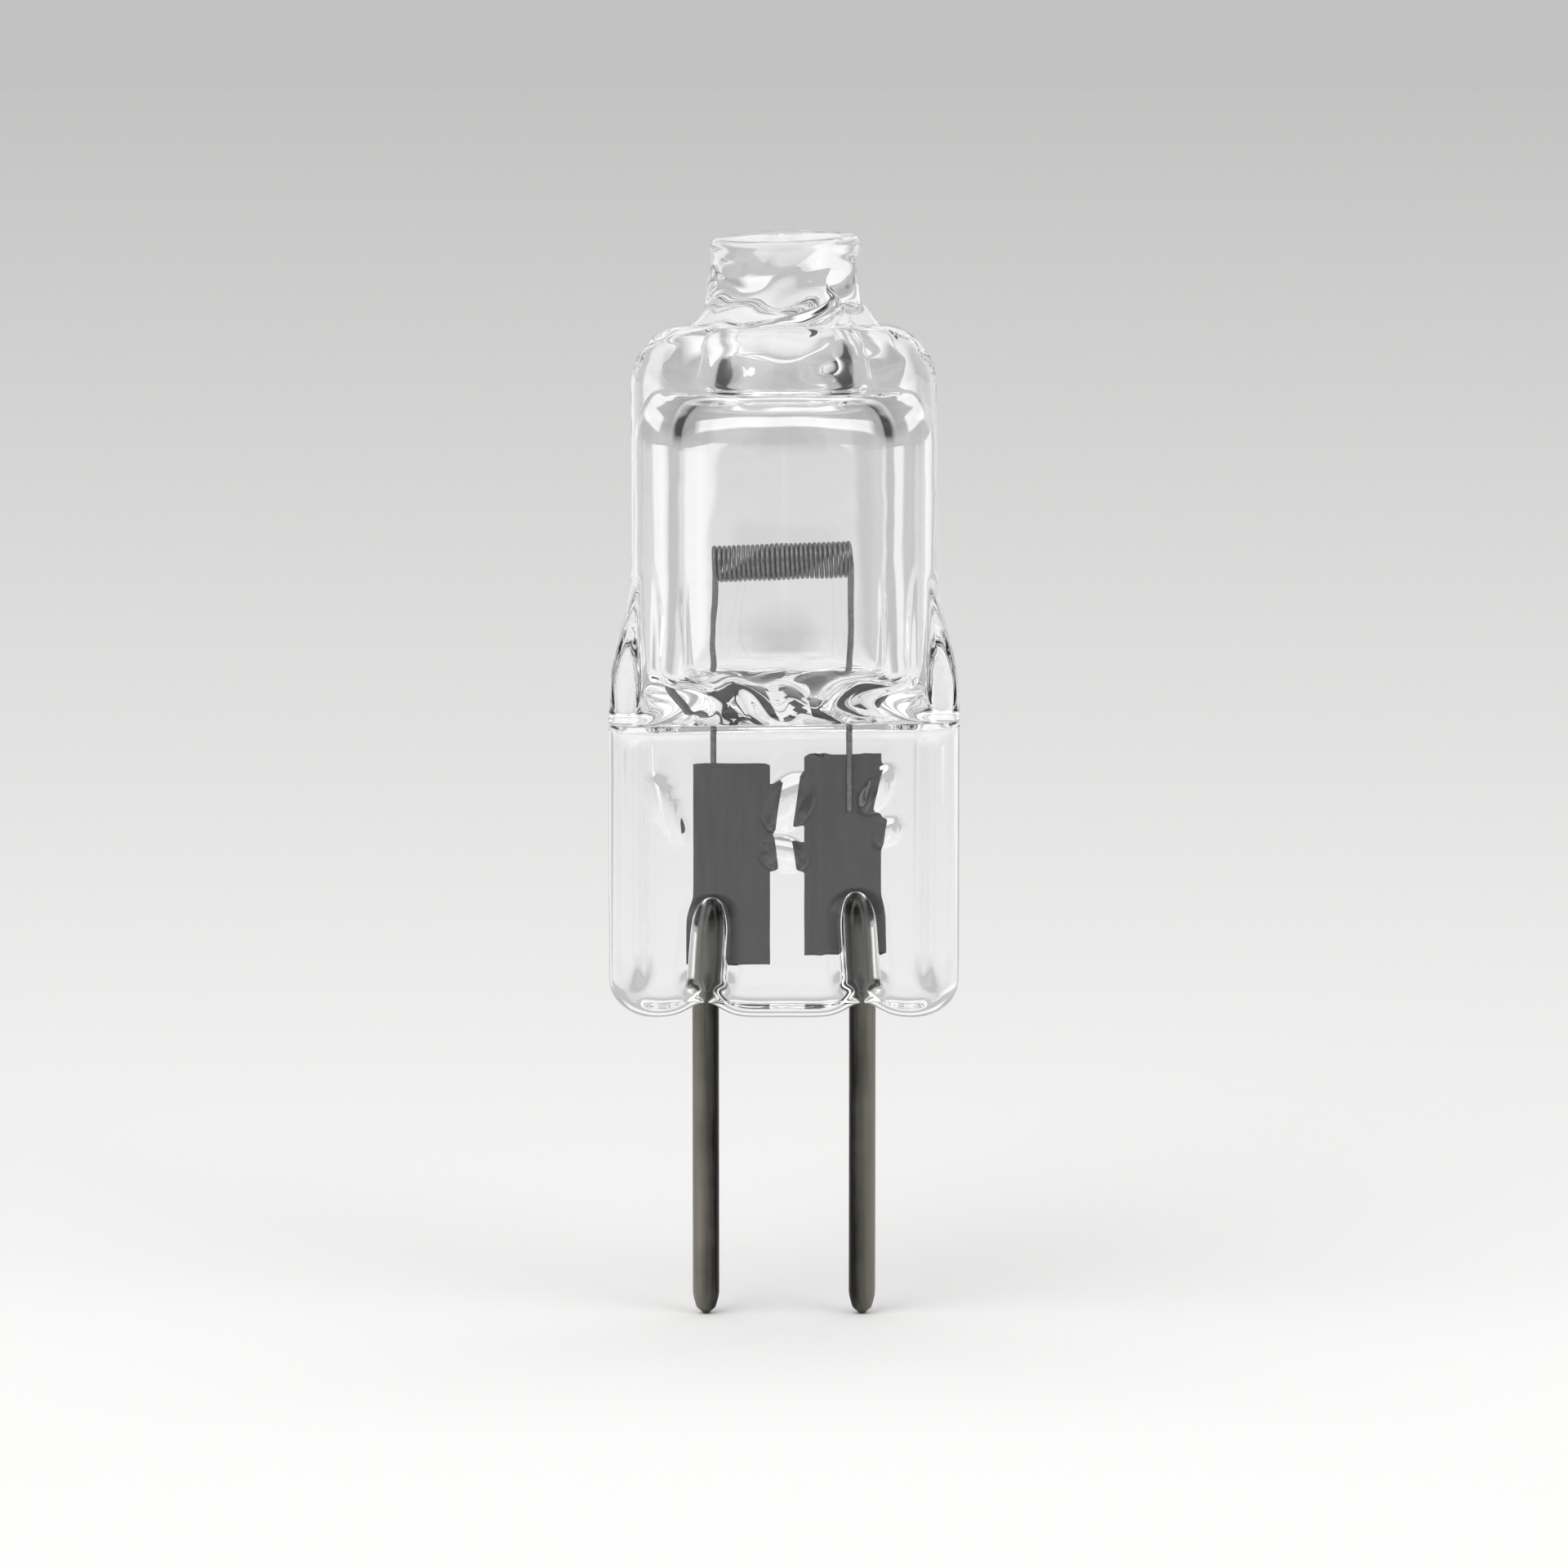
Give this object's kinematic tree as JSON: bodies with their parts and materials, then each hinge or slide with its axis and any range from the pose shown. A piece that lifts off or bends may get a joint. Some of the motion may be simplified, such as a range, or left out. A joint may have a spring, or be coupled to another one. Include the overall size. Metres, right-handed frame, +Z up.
{
  "type": "halogen capsule bulb",
  "caption": "Clear capsule lamp: a sealed glass bulb around a coiled filament, pinched flat at its foot, where foils join straight pins that push into a holder.",
  "frame": {"origin": "middle of the flat glass base between the pins", "axes": "+Z up the lamp from the pins to the sealed tip, X along the row of pins, -Y to the front"},
  "size_m": [0.0088, 0.0078, 0.0277],
  "materials": {
    "quartz_glass": "clear",
    "filament_wire": "satin",
    "seal_foil": "satin",
    "pin_metal": "dull, drawn"
  },
  "bodies": {
    "root": {"glass_envelope": "quartz_glass", "filament": "filament_wire", "foil_left": "seal_foil", "foil_right": "seal_foil", "pin_left": "pin_metal", "pin_right": "pin_metal"}
  },
  "joints": []
}
